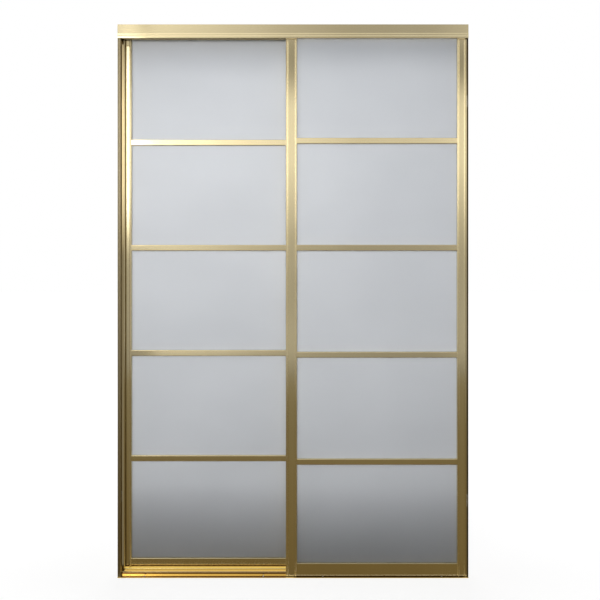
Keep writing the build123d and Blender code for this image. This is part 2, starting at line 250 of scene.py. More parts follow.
def add_painted_flank_shade(material):
    """Painted shade: darker bands on the flanks of the running ribs, under their crowns, standing in for the
    shade of the narrow grooves between them.
    """
    tree = material.node_tree
    surface = tree.nodes["Principled BSDF"].inputs["Base Color"]
    dyed = surface.links[0].from_socket
    place = tree.nodes.new("ShaderNodeTexCoord")
    split = tree.nodes.new("ShaderNodeSeparateXYZ")
    tree.links.new(place.outputs["Object"], split.inputs["Vector"])
    rise = tree.nodes.new("ShaderNodeMapRange")
    rise.inputs["From Max"].default_value = rib_top * mm
    tree.links.new(split.outputs["Z"], rise.inputs["Value"])
    shade = tints(
        tree,
        rise.outputs["Result"],
        *[(height / rib_top, colour) for height, colour in painted_flank_band],
    )
    from_middle = tree.nodes.new("ShaderNodeMath")
    from_middle.operation = "ABSOLUTE"
    tree.links.new(split.outputs["Y"], from_middle.inputs[0])
    on_ribs = tree.nodes.new("ShaderNodeMath")
    on_ribs.operation = "GREATER_THAN"
    on_ribs.inputs[1].default_value = (lane - 2 * rib_half) * mm
    tree.links.new(from_middle.outputs["Value"], on_ribs.inputs[0])
    shaded = tree.nodes.new("ShaderNodeMix")
    shaded.data_type = "RGBA"
    shaded.blend_type = "MULTIPLY"
    tree.links.new(on_ribs.outputs["Value"], shaded.inputs["Factor"])
    tree.links.new(dyed, shaded.inputs["A"])
    tree.links.new(shade, shaded.inputs["B"])
    tree.links.new(shaded.outputs["Result"], surface)


def frosted_glass(name):
    """Satin etched glass: a fine etched grain, a faint unevenness and a little light coming through."""
    material, tree, shader = start_finish(name)
    etch_cells, haze_cells = [900.0] * 3, (1.7, 1.7, 2.6)
    etch = grain(tree, etch_cells)
    haze = grain(tree, haze_cells)
    colour = tints(tree, haze, (0.3, (0.69, 0.717, 0.755)), (0.7, (0.75, 0.777, 0.815)))
    tree.links.new(colour, shader.inputs["Base Color"])
    tree.links.new(between(tree, etch, 0.40, 0.50), shader.inputs["Roughness"])
    shader.inputs["IOR"].default_value = 1.52
    shader.inputs["Transmission Weight"].default_value = 0.18
    shader.inputs["Specular IOR Level"].default_value = 0.9
    relief(tree, shader, etch, 0.20, 0.0002)
    return material


def plain_finish(name, dark, pale, cells, roughness, metallic=0.0):
    """A finish that varies finely between two tones, such as zinc, nylon or vinyl."""
    material, tree, shader = start_finish(name)
    mottle = grain(tree, [cells] * 3, 3.0)
    tree.links.new(tints(tree, mottle, (0.3, dark), (0.7, pale)), shader.inputs["Base Color"])
    shader.inputs["Metallic"].default_value = metallic
    tree.links.new(between(tree, mottle, roughness * 0.85, roughness * 1.15), shader.inputs["Roughness"])
    relief(tree, shader, mottle, 0.12, 0.0003)
    return material


# Painted shade on the track's rib flanks: the shade colour, and the heights in millimetres where it fades in
# and out.
clear, painted_flank_shade = (1.0, 1.0, 1.0), (0.14, 0.06, 0.02)
painted_flank_band = ((6.4, clear), (7.4, painted_flank_shade), (14.2, painted_flank_shade), (15.2, clear))
bright_gold = {"deep": (0.64, 0.525, 0.275), "pale": (0.70, 0.585, 0.325), "smooth": 0.11, "rough": 0.17}
# The track's gold is more saturated than the rest: a painted tint for the deeper yellow that reflections
# between its ribs give.
reflection_tinted_gold = {"deep": (0.66, 0.51, 0.21), "pale": (0.72, 0.57, 0.25), "smooth": 0.11, "rough": 0.17}
# The jamb's gold has a rougher satin finish, and a colour about half as bright as the rest: painted shade, a
# darker copy of the same gold.
satin_shaded_gold = {"deep": (0.29, 0.235, 0.13), "pale": (0.33, 0.27, 0.15), "smooth": 0.34, "rough": 0.44}
gold_upright = gold_anodised("gold_anodised_upright", 2, **bright_gold, coat=1.0)
gold_level = gold_anodised("gold_anodised_level", 0, **bright_gold, coat=1.0)
shaded_gold_jamb = gold_anodised("gold_anodised_jamb_shaded", 2, **satin_shaded_gold, coat=0.3)
gold_track = gold_anodised("gold_anodised_track", 0, **reflection_tinted_gold, coat=0.2)
add_painted_flank_shade(gold_track)
satin_glass = frosted_glass("satin_glass")
gasket_vinyl = plain_finish("gasket_vinyl", (0.46, 0.45, 0.42), (0.54, 0.53, 0.50), 240.0, 0.6)
bumper_vinyl = plain_finish("bumper_vinyl", (0.50, 0.49, 0.46), (0.58, 0.57, 0.53), 180.0, 0.5)
white_nylon = plain_finish("white_nylon", (0.66, 0.64, 0.58), (0.74, 0.72, 0.66), 320.0, 0.42)
zinc_plate = plain_finish("zinc_plate", (0.50, 0.51, 0.52), (0.63, 0.64, 0.64), 150.0, 0.34, 1.0)


def new_tree(name, inputs):
    """An empty geometry tree and the identifiers of its named inputs."""
    tree = bpy.data.node_groups.new(name, "GeometryNodeTree")
    tree.interface.new_socket("Geometry", in_out="INPUT", socket_type="NodeSocketGeometry")
    keys = {}
    for label, kind in inputs:
        keys[label] = tree.interface.new_socket(label, in_out="INPUT", socket_type=kind).identifier
    tree.interface.new_socket("Geometry", in_out="OUTPUT", socket_type="NodeSocketGeometry")
    return tree, keys


def swept_section_tree():
    """A flat section, extruded along Run, closed at its near end and repeated Count times by Step."""
    tree, keys = new_tree(
        "swept_section",
        [
            ("Run", "NodeSocketVector"),
            ("Count", "NodeSocketInt"),
            ("Step", "NodeSocketVector"),
            ("Finish", "NodeSocketMaterial"),
        ],
    )
    add, link = tree.nodes.new, tree.links.new
    given = add("NodeGroupInput")
    extrude = add("GeometryNodeExtrudeMesh")
    extrude.inputs["Individual"].default_value = False
    extrude.inputs["Offset Scale"].default_value = 1.0
    near_end = add("GeometryNodeFlipFaces")
    both = add("GeometryNodeJoinGeometry")
    closed = add("GeometryNodeMergeByDistance")
    closed.inputs["Distance"].default_value = 1e-6
    spots = add("GeometryNodeMeshLine")
    copies = add("GeometryNodeInstanceOnPoints")
    real = add("GeometryNodeRealizeInstances")
    painted = add("GeometryNodeSetMaterial")
    result = add("NodeGroupOutput")
    link(given.outputs["Geometry"], extrude.inputs["Mesh"])
    link(given.outputs["Run"], extrude.inputs["Offset"])
    link(given.outputs["Geometry"], near_end.inputs["Mesh"])
    link(extrude.outputs["Mesh"], both.inputs["Geometry"])
    link(near_end.outputs["Mesh"], both.inputs["Geometry"])
    link(both.outputs["Geometry"], closed.inputs["Geometry"])
    link(given.outputs["Count"], spots.inputs["Count"])
    link(given.outputs["Step"], spots.inputs["Offset"])
    link(spots.outputs["Mesh"], copies.inputs["Points"])
    link(closed.outputs["Geometry"], copies.inputs["Instance"])
    link(copies.outputs["Instances"], real.inputs["Geometry"])
    link(real.outputs["Geometry"], painted.inputs["Geometry"])
    link(given.outputs["Finish"], painted.inputs["Material"])
    link(painted.outputs["Geometry"], result.inputs["Geometry"])
    return tree, keys


def screw_set_tree():
    """A screw at each point, its head turned the way the point's aim says."""
    tree, keys = new_tree("screw_set", [("Screw", "NodeSocketObject"), ("Finish", "NodeSocketMaterial")])
    add, link = tree.nodes.new, tree.links.new
    given = add("NodeGroupInput")
    screw = add("GeometryNodeObjectInfo")
    aim = add("GeometryNodeInputNamedAttribute")
    aim.data_type = "FLOAT_VECTOR"
    aim.inputs["Name"].default_value = "aim"
    turned = add("FunctionNodeAlignRotationToVector")
    turned.axis = "Z"
    copies = add("GeometryNodeInstanceOnPoints")
    real = add("GeometryNodeRealizeInstances")
    painted = add("GeometryNodeSetMaterial")
    result = add("NodeGroupOutput")
    link(given.outputs["Screw"], screw.inputs["Object"])
    link(aim.outputs["Attribute"], turned.inputs["Vector"])
    link(given.outputs["Geometry"], copies.inputs["Points"])
    link(screw.outputs["Geometry"], copies.inputs["Instance"])
    link(turned.outputs["Rotation"], copies.inputs["Rotation"])
    link(copies.outputs["Instances"], real.inputs["Geometry"])
    link(real.outputs["Geometry"], painted.inputs["Geometry"])
    link(given.outputs["Finish"], painted.inputs["Material"])
    link(painted.outputs["Geometry"], result.inputs["Geometry"])
    return tree, keys


swept_section = swept_section_tree()
screw_set = screw_set_tree()


def put_in_scene(name, mesh):
    """A new object with the mesh, at the origin."""
    piece = bpy.data.objects.new(name, mesh)
    scene.collection.objects.link(piece)
    return piece


def settle(piece):
    """Turn what the modifiers give into the piece's own plain mesh."""
    view = bpy.context.evaluated_depsgraph_get()
    mesh = bpy.data.meshes.new_from_object(piece.evaluated_get(view))
    piece.modifiers.clear()
    piece.data = mesh


def grow(piece, made_tree, values):
    """Run a geometry tree on the piece, with its named inputs set."""
    tree, keys = made_tree
    modifier = piece.modifiers.new(tree.name, "NODES")
    modifier.node_group = tree
    for label, value in values.items():
        modifier[keys[label]] = value
    settle(piece)


def tidy_skin(piece):
    """Merge doubles and point the faces outwards."""
    shell = bmesh.new()
    shell.from_mesh(piece.data)
    bmesh.ops.remove_doubles(shell, verts=shell.verts, dist=1e-6)
    bmesh.ops.recalc_face_normals(shell, faces=shell.faces)
    shell.to_mesh(piece.data)
    shell.free()


def sweep(name, loops, place, run, finish, count=1, step=(0, 0, 0)):
    """A section of closed loops set in place, extruded along run and repeated."""
    section = bmesh.new()
    edges = []
    for loop in loops:
        verts = [section.verts.new(Vector(place(u, v)) * mm) for u, v in loop]
        edges += [section.edges.new(pair) for pair in zip(verts, verts[1:] + verts[:1])]
    bmesh.ops.triangle_fill(section, use_beauty=True, edges=edges)
    mesh = bpy.data.meshes.new(name)
    section.to_mesh(mesh)
    section.free()
    piece = put_in_scene(name, mesh)
    sizes = {"Run": Vector(run) * mm, "Count": count, "Step": Vector(step) * mm, "Finish": finish}
    grow(piece, swept_section, sizes)
    tidy_skin(piece)
    return piece


def rods(spots, sides=32):
    """Cutting rods or cones, each from one point to another with a radius at each end."""
    body = bmesh.new()
    for start, end, first_radius, last_radius in spots:
        first, last = Vector(start) * mm, Vector(end) * mm
        along = last - first
        turn = along.to_track_quat("Z", "Y").to_matrix().to_4x4()
        turn.translation = (first + last) / 2
        bmesh.ops.create_cone(
            body,
            cap_ends=True,
            segments=sides,
            radius1=first_radius * mm,
            radius2=last_radius * mm,
            depth=along.length,
            matrix=turn,
        )
    return body


def upright_rod(x, y, heights, radius, top_radius):
    """A cutting rod or cone along Z, in the way that rods takes them."""
    return (x, y, heights[0]), (x, y, heights[1]), radius, top_radius


def block(low, high):
    """A cutting block between two corners."""
    body = bmesh.new()
    bmesh.ops.create_cube(body, size=1.0)
    low, high = Vector(low) * mm, Vector(high) * mm
    for vert in body.verts:
        vert.co = (low + high) / 2 + Vector(c * (b - a) for c, a, b in zip(vert.co, low, high))
    return body


def cut(piece, body):
    """Take the cutting body out of the piece."""
    mesh = bpy.data.meshes.new("cutter")
    body.to_mesh(mesh)
    body.free()
    cutter = put_in_scene("cutter", mesh)
    modifier = piece.modifiers.new("cut", "BOOLEAN")
    modifier.operation = "DIFFERENCE"
    modifier.solver = "EXACT"
    modifier.object = cutter
    settle(piece)
    bpy.data.objects.remove(cutter)
    bpy.data.meshes.remove(mesh)
    tidy_skin(piece)


def join(name, pieces):
    """One mesh of several, all already in place."""
    whole = bmesh.new()
    for piece in pieces:
        whole.from_mesh(piece.data)
    mesh = bpy.data.meshes.new(name)
    whole.to_mesh(mesh)
    whole.free()
    for material in pieces[0].data.materials:
        mesh.materials.append(material)
    for piece in pieces:
        bpy.data.objects.remove(piece)
    return put_in_scene(name, mesh)


def arc(centre, radius, start, end, steps):
    """Points along an arc, by its angles in degrees."""
    turns = [radians(start + (end - start) * i / steps) for i in range(steps + 1)]
    return [(centre[0] + radius * cos(a), centre[1] + radius * sin(a)) for a in turns]


def oblong(low_u, low_v, high_u, high_v):
    """A loop of four corners."""
    return [(low_u, low_v), (high_u, low_v), (high_u, high_v), (low_u, high_v)]


def bead(spot, side, centre, radius, face):
    """A bead's arc above a face, run with the outline: side -1 towards +u, side 1 towards -u."""
    foot = asin((face - centre) / radius) * 180 / pi
    if side < 0:
        return arc((spot, -centre), radius, 180 + foot, 360 - foot, 10)
    return arc((spot, centre), radius, foot, 180 - foot, 10)


def smooth_skin(piece):
    """Round the shading except at real edges, with wide faces kept flat."""
    piece.data.shade_smooth()
    piece.data.set_sharp_from_angle(angle=radians(32))
    even = piece.modifiers.new("flat_faces", "WEIGHTED_NORMAL")
    even.keep_sharp = True
    settle(piece)


def dress(piece, body, slot, *replaced):
    """Smooth the piece, ride it on its body and hide the nodes that it stands for; slot is not used."""
    smooth_skin(piece)
    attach(piece, body)
    if replaced:
        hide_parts(*replaced)


def make_header():
    """The reeded header, its dividing fin and its fixing holes."""
    reed_radius = (reed_half**2 + reed_rise**2) / (2 * reed_rise)
    reed_angle = asin(reed_half / reed_radius) * 180 / pi
    face = []
    for middle in reversed(reed_middles):
        centre = (-half_depth + reed_radius, middle)
        face += arc(centre, reed_radius, 180 - reed_angle, 180 + reed_angle, 12)
    lip = lip_round
    outline = (
        arc((-fascia_face + lip, frame_height - lip), lip, 90, 180, 4)
        + face
        + arc((-fascia_face + lip, fascia_bottom + lip), lip, 180, 270, 4)
        + [(-fascia_face + wall, fascia_bottom), (-fascia_face + wall, web_underside)]
        + [(fascia_face - wall, web_underside), (fascia_face - wall, rear_flange_foot)]
        + [(fascia_face, rear_flange_foot)]
        + arc((fascia_face - lip, frame_height - lip), lip, 0, 90, 4)
    )
    shell = sweep(
        "header_shell",
        [outline],
        lambda u, v: (-half_width, u, v),
        (2 * half_width, 0, 0),
        gold_level,
    )
    holes = []
    for x in (-head_holes, head_holes):
        for y in (-lane, lane):
            holes.append(upright_rod(x, y, head_drill, head_hole_radius, head_hole_radius))
    for side in (-1, 1):
        x, y = side * port[0], side * port[1]
        holes.append(upright_rod(x, y, port_drill, port_radius, port_radius))
        holes.append(upright_rod(x, y, port_sink, port_radius, port_sink_radius))
    cut(shell, rods(holes))
    fin_end = half_width - wall
    fin = sweep(
        "header_fin",
        [oblong(-wall / 2, divider_foot, wall / 2, web_underside + fin_root)],
        lambda u, v: (-fin_end, u, v),
        (2 * fin_end, 0, 0),
        gold_level,
    )
    header = join("reeded_header", [shell, fin])
    dress(header, "frame", "gold_anodised", "header_track")


def make_bottom_track():
    """The bottom track: a countersunk base strip with two running ribs and a fin between them."""
    outline = (
        [(-half_depth, 0), (half_depth, 0)]
        + arc((half_depth - track_round, track_base - track_round), track_round, 0, 90, 5)
        + arc((-half_depth + track_round, track_base - track_round), track_round, 90, 180, 5)
    )
    base = sweep(
        "track_base",
        [outline],
        lambda u, v: (-half_width, u, v),
        (2 * half_width, 0, 0),
        gold_track,
    )
    holes = []
    for x in [side * offset for offset in track_holes for side in (-1, 1)]:
        for y in (-track_hole_y, track_hole_y):
            holes.append(upright_rod(x, y, track_drill, fixing_radius, fixing_radius))
            holes.append(upright_rod(x, y, track_sink, fixing_radius, track_sink_radius))
    cut(base, rods(holes))
    ribs = []
    for y, top in ((-lane, rib_top), (lane, rib_top), (0, track_divider_top)):
        crown = arc((y, top - rib_half), rib_half, 0, 180, 12)
        foot = track_base - rib_root
        ribs.append(
            sweep(
                "track_rib",
                [[(y - rib_half, foot), (y + rib_half, foot)] + crown],
                lambda u, v: (-rib_end, u, v),
                (2 * rib_end, 0, 0),
                gold_track,
            )
        )
    track = join("ribbed_bottom_track", [base, *ribs])
    dress(track, "frame", "gold_anodised", "bottom_track")


def make_jamb(label, side):
    """A slim jamb with a beaded hollow nose, its fixing holes in the web."""
    corner = nose_round
    outline = (
        [(0, -jamb_depth), (wall, -jamb_depth), (wall, -nose_front)]
        + bead(jamb_beads[0], -1, jamb_bead_line, jamb_bead_radius, nose_front)
        + bead(jamb_beads[1], -1, jamb_bead_line, jamb_bead_radius, nose_front)
        + arc((nose_width - corner, -nose_front + corner), corner, 270, 360, 4)
        + arc((nose_width - corner, -nose_back - corner), corner, 0, 90, 4)
        + [(wall, -nose_back), (wall, jamb_depth), (0, jamb_depth)]
    )
    middle = (nose_width / 2, -port[1])
    left, right = wall, nose_width - wall
    spring = asin(wall / port_boss) * 180 / pi
    behind = arc(middle, port_boss, spring, 180 - spring, 10)
    before = arc(middle, port_boss, 180 + spring, 360 - spring, 10)
    hollows = [
        [(right, -nose_back - wall), (right, middle[1] + wall)]
        + behind
        + [(left, middle[1] + wall), (left, -nose_back - wall)],
        [(left, -nose_front + wall), (left, middle[1] - wall)]
        + before
        + [(right, middle[1] - wall), (right, -nose_front + wall)],
    ]
    screw_port = arc(middle, port_radius, 0, 345, 23)
    jamb = sweep(
        f"{label}_section",
        [outline, *hollows, screw_port],
        lambda u, v: (side * (half_width - u), -side * v, track_base),
        (0, 0, web_underside - track_base),
        shaded_gold_jamb,
    )
    y = -side * lane
    left, right = side * half_width - jamb_drill, side * half_width + jamb_drill
    cut(jamb, rods([((left, y, z), (right, y, z), fixing_radius, fixing_radius) for z in jamb_holes]))
    dress(jamb, "frame", "gold_anodised", label)


def make_stile(label, width, outer_x, inward, lane_y, body):
    """A beaded stile with its glazing pocket, access holes and the notch that clears the rib."""
    low, high = (edge_round, -door_half + edge_round), (edge_round, door_half - edge_round)
    far, floor, seat = width - edge_round, width - pocket_depth, width - seat_depth
    chamber = door_half - wall
    outline = (
        arc(low, edge_round, 180, 270, 5)
        + bead(outer_bead, -1, bead_line, bead_radius, door_half)
        + bead(width - inner_bead, -1, bead_line, bead_radius, door_half)
        + arc((far, low[1]), edge_round, 270, 360, 5)
        + [(width, -pocket_half), (floor, -pocket_half), (floor, pocket_half), (width, pocket_half)]
        + arc((far, high[1]), edge_round, 0, 90, 5)
        + bead(width - inner_bead, 1, bead_line, bead_radius, door_half)
        + bead(outer_bead, 1, bead_line, bead_radius, door_half)
        + arc(high, edge_round, 90, 180, 5)
    )
    hollows = [
        oblong(wall, -chamber, seat, chamber),
        oblong(seat + wall, flange_inner, width - wall, chamber),
        oblong(seat + wall, -chamber, width - wall, -flange_inner),
    ]
    stile = sweep(
        f"{label}_section",
        [outline, *hollows],
        lambda u, v: (outer_x + inward * u, lane_y + v, door_bottom),
        (0, 0, door_top - door_bottom),
        gold_upright,
    )
    spots = [(side * screw_line, z) for z in screw_heights for side in (-1, 1)] + [(0, adjuster_access)]
    near, past = [outer_x + inward * depth for depth in access_drill]
    holes = [((near, lane_y + y, z), (past, lane_y + y, z), access_radius, access_radius) for y, z in spots]
    cut(stile, rods(holes))
    across = sorted((outer_x - inward * overrun, outer_x + inward * (width + overrun)))
    cut(stile, block((across[0], lane_y - notch_half, 0), (across[1], lane_y + notch_half, notch_top)))
    dress(stile, body, "gold_anodised", label)


def make_rails(name, rail_x, lane_y):
    """The bottom and top rails of a door, each with its pocket and its open channel."""
    run = (rail_length, 0, 0)
    channel = door_half - wall
    place = lambda u, v: (rail_x, lane_y + u, v)
    outline = (
        [(-door_half, door_bottom), (-channel, door_bottom), (-channel, rail_channel)]
        + [(channel, rail_channel), (channel, door_bottom), (door_half, door_bottom)]
        + arc((door_half - edge_round, rail_top - edge_round), edge_round, 0, 90, 5)
        + [(pocket_half, rail_top), (pocket_half, rail_pocket)]
        + [(-pocket_half, rail_pocket), (-pocket_half, rail_top)]
        + arc((-door_half + edge_round, rail_top - edge_round), edge_round, 90, 180, 5)
    )
    rail = sweep(f"{name}_bottom_rail_section", [outline], place, run, gold_level)
    dress(rail, name, "gold_anodised", f"{name}_bottom_rail")
    foot = top_rail_foot
    pocket_floor, channel_floor = foot + rail_top - rail_pocket, foot + rail_top - rail_channel
    outline = (
        arc((-door_half + edge_round, foot + edge_round), edge_round, 180, 270, 5)
        + [(-pocket_half, foot), (-pocket_half, pocket_floor)]
        + [(pocket_half, pocket_floor), (pocket_half, foot)]
        + arc((door_half - edge_round, foot + edge_round), edge_round, 270, 360, 5)
        + [(door_half, door_top), (channel, door_top), (channel, channel_floor)]
        + [(-channel, channel_floor), (-channel, door_top), (-door_half, door_top)]
    )
    rail = sweep(f"{name}_top_rail_section", [outline], place, run, gold_level)
    dress(rail, name, "gold_anodised", f"{name}_top_rail")


def make_bars(name, rail_x, lane_y):
    """The bars between the panes: one section, repeated up the door."""
    deep, tall, r = bar_half_depth, bar_height / 2, bar_round
    slot_floor = tall - bar_pocket
    outline = (
        arc((-deep + r, -tall + r), r, 180, 270, 6)
        + [(-pocket_half, -tall), (-pocket_half, -slot_floor)]
        + [(pocket_half, -slot_floor), (pocket_half, -tall)]
        + arc((deep - r, -tall + r), r, 270, 360, 6)
        + arc((deep - r, tall - r), r, 0, 90, 6)
        + [(pocket_half, tall), (pocket_half, slot_floor)]
        + [(-pocket_half, slot_floor), (-pocket_half, tall)]
        + arc((-deep + r, tall - r), r, 90, 180, 6)
    )
    bars = sweep(
        f"{name}_bars",
        [outline],
        lambda u, v: (rail_x, lane_y + u, first_bar + v),
        (rail_length, 0, 0),
        gold_level,
        bar_count,
        (0, 0, bar_pitch),
    )
    dress(bars, name, "gold_anodised", *[f"{name}_bar_{i + 1}" for i in range(bar_count)])


def turned(name, outline, place, finish, sides=48):
    """A turned shape from a closed outline of (along, radius) points."""
    shell = bmesh.new()
    rings = []
    for along, radius in outline:
        ring = arc((0, 0), radius, 0, 360 - 360 / sides, sides - 1)
        rings.append([shell.verts.new(Vector(place(along, a, b)) * mm) for a, b in ring])
    for ring, after in zip(rings, rings[1:] + rings[:1]):
        for i in range(sides):
            j = (i + 1) % sides
            shell.faces.new((ring[i], ring[j], after[j], after[i]))
    mesh = bpy.data.meshes.new(name)
    shell.to_mesh(mesh)
    shell.free()
    mesh.materials.append(finish)
    piece = put_in_scene(name, mesh)
    tidy_skin(piece)
    return piece


def make_roller(door, side, wheel_x, lane_y):
    """A grooved nylon wheel on its shielded bearing, with the axle riveted over the cheeks."""
    label = f"{door}_{side}"
    place = lambda along, a, b: (wheel_x + a, lane_y + along, wheel_height + b)
    tyre = turned(
        f"{label}_grooved_wheel",
        tyre_profile,
        place,
        white_nylon,
        64,
    )
    dress(tyre, f"{label}_wheel", "nylon", f"{label}_roller_wheel")
    ring = turned(f"{label}_shielded_bearing", bearing_profile, place, zinc_plate)
    dress(ring, f"{label}_wheel", "zinc_steel", f"{label}_roller_bearing")
    pin = turned(f"{label}_riveted_axle", axle_profile, place, zinc_plate)
    dress(pin, door, "zinc_steel", f"{label}_roller_axle")


def screw_pattern(name, profile):
    """One screw pointing along Z from its head, with a cross recess."""
    screw = turned(name, profile, lambda along, a, b: (a, b, along), zinc_plate, 24)
    top = max(along for along, radius in profile)
    for a, b in ((recess_reach, recess_half), (recess_half, recess_reach)):
        cut(screw, block((-a, -b, top - recess_depth), (a, b, top + 1)))
    return screw


def set_screws(name, pattern, spots):
    """Screws at each spot with its aim, as one mesh."""
    mesh = bpy.data.meshes.new(name)
    mesh.from_pydata([Vector(spot) * mm for spot, aim in spots], [], [])
    aims = mesh.attributes.new("aim", "FLOAT_VECTOR", "POINT")
    for value, (spot, aim) in zip(aims.data, spots):
        value.vector = aim
    piece = put_in_scene(name, mesh)
    grow(piece, screw_set, {"Screw": pattern, "Finish": zinc_plate})
    tidy_skin(piece)
    return piece


def make_screws():
    """Pan head screws in the stiles and countersunk screws at the frame's corners."""
    pan = screw_pattern("pan_screw", pan_screw_profile)
    for name, left_x, left_width, right_width, lane_y in doors:
        spots = []
        left_seat = left_x + left_width - seat_depth
        right_seat = left_x + door_width - right_width + seat_depth
        for seat, inward in ((left_seat, 1), (right_seat, -1)):
            for z in screw_heights:
                spots += [((seat, lane_y + side * screw_line, z), (-inward, 0, 0)) for side in (-1, 1)]
        dress(set_screws(f"{name}_pan_screws", pan, spots), name, "zinc_steel", f"{name}_screws")
    flat = screw_pattern("flat_screw", flat_screw_profile)
    corners = []
    for side in (-1, 1):
        corners.append(((side * port[0], side * port[1], frame_height), (0, 0, 1)))
        corners.append(((side * port[0], side * port[1], 0), (0, 0, -1)))
    dress(set_screws("corner_screws", flat, corners), "frame", "zinc_steel", "frame_corner_screws")
    for pattern in (pan, flat):
        bpy.data.objects.remove(pattern)


def paint(node, finish):
    """Give a carried-over piece its finish."""
    slots = nodes[node].data.materials
    slots.clear()
    slots.append(finish)


doors = (
    ("left_door", -closed_edge, outer_stile, meeting_stile, lane),
    ("right_door", closed_edge - door_width, meeting_stile, outer_stile, -lane),
)

make_header()
make_bottom_track()
make_jamb("left_jamb", -1)
make_jamb("right_jamb", 1)
paint("jamb_bumpers", bumper_vinyl)
for name, left_x, left_width, right_width, lane_y in doors:
    right_x = left_x + door_width
    make_stile(f"{name}_left_stile", left_width, left_x, 1, lane_y, name)
    make_stile(f"{name}_right_stile", right_width, right_x, -1, lane_y, name)
    make_rails(name, left_x + left_width, lane_y)
    make_bars(name, left_x + left_width, lane_y)
    paint(f"{name}_gaskets", gasket_vinyl)
    for i in range(bar_count + 1):
        paint(f"{name}_pane_{i + 1}", satin_glass)
    for side, wheel_x in (("left", left_x + roller_inset), ("right", right_x - roller_inset)):
        make_roller(name, side, wheel_x, lane_y)
        paint(f"{name}_{side}_roller_housing", zinc_plate)
        paint(f"{name}_{side}_roller_adjuster", zinc_plate)
        paint(f"{name}_{side}_guide", white_nylon)
make_screws()


def stage_sheet(name, corners, material, faces=((0, 1, 2, 3),)):
    """A stage piece of flat sheets through its corners."""
    mesh = bpy.data.meshes.new(name)
    mesh.from_pydata(corners, [], faces)
    mesh.materials.append(material)
    sheet = put_in_scene(name, mesh)
    return sheet


def rectangle_xy(half_x, near_y, far_y, z):
    """Corners of a level sheet."""
    return [(-half_x, near_y, z), (half_x, near_y, z), (half_x, far_y, z), (-half_x, far_y, z)]


def rectangle_xz(half_x, y, low_z, high_z, middle_x=0.0):
    """Corners of an upright sheet that faces the doors."""
    left, right = middle_x - half_x, middle_x + half_x
    return [(left, y, low_z), (right, y, low_z), (right, y, high_z), (left, y, high_z)]


def rectangle_yz(x, near_y, far_y, low_z, high_z):
    """Corners of an upright sheet at the side of the doors."""
    return [(x, near_y, low_z), (x, far_y, low_z), (x, far_y, high_z), (x, near_y, high_z)]


def seen_as_white(tree):
    """1 for the rays that see the white surroundings: camera, glossy and transmission rays."""
    path = tree.nodes.new("ShaderNodeLightPath")
    value = path.outputs["Is Camera Ray"]
    for kind in ("Is Glossy Ray", "Is Transmission Ray"):
        either = tree.nodes.new("ShaderNodeMath")
        either.operation = "MAXIMUM"
        tree.links.new(value, either.inputs[0])
        tree.links.new(path.outputs[kind], either.inputs[1])
        value = either.outputs["Value"]
    return value


def fade(tree, parts, axis, *stops):
    """Colour steps along one axis of a stage card, each a place in metres and a colour."""
    low, high = stops[0][0], stops[-1][0]
    along = tree.nodes.new("ShaderNodeMapRange")
    along.inputs["From Min"].default_value = low
    along.inputs["From Max"].default_value = high
    tree.links.new(parts.outputs[axis], along.inputs["Value"])
    steps = [((at - low) / (high - low), colour) for at, colour in stops]
    return tints(tree, along.outputs["Result"], *steps)


def glow_finish(name, strength, along_x, along_other, other_axis):
    """A glowing finish for a stage card: steps along X times steps along another axis."""
    material = bpy.data.materials.new(name)
    material.use_nodes = True
    tree = material.node_tree
    tree.nodes.remove(tree.nodes["Principled BSDF"])
    place = tree.nodes.new("ShaderNodeTexCoord")
    parts = tree.nodes.new("ShaderNodeSeparateXYZ")
    tree.links.new(place.outputs["Object"], parts.inputs["Vector"])
    both = tree.nodes.new("ShaderNodeVectorMath")
    both.operation = "MULTIPLY"
    tree.links.new(fade(tree, parts, "X", *along_x), both.inputs[0])
    tree.links.new(fade(tree, parts, other_axis, *along_other), both.inputs[1])
    glow = tree.nodes.new("ShaderNodeEmission")
    glow.inputs["Strength"].default_value = strength
    tree.links.new(both.outputs["Vector"], glow.inputs["Color"])
    tree.links.new(glow.outputs["Emission"], tree.nodes["Material Output"].inputs["Surface"])
    return material


def levels(*steps, tint=(1.0, 1.0, 1.0)):
    """Stops for a fade, each from a place in metres and a level of the tint there."""
    return [(place, [part * level for part in tint]) for place, level in steps]


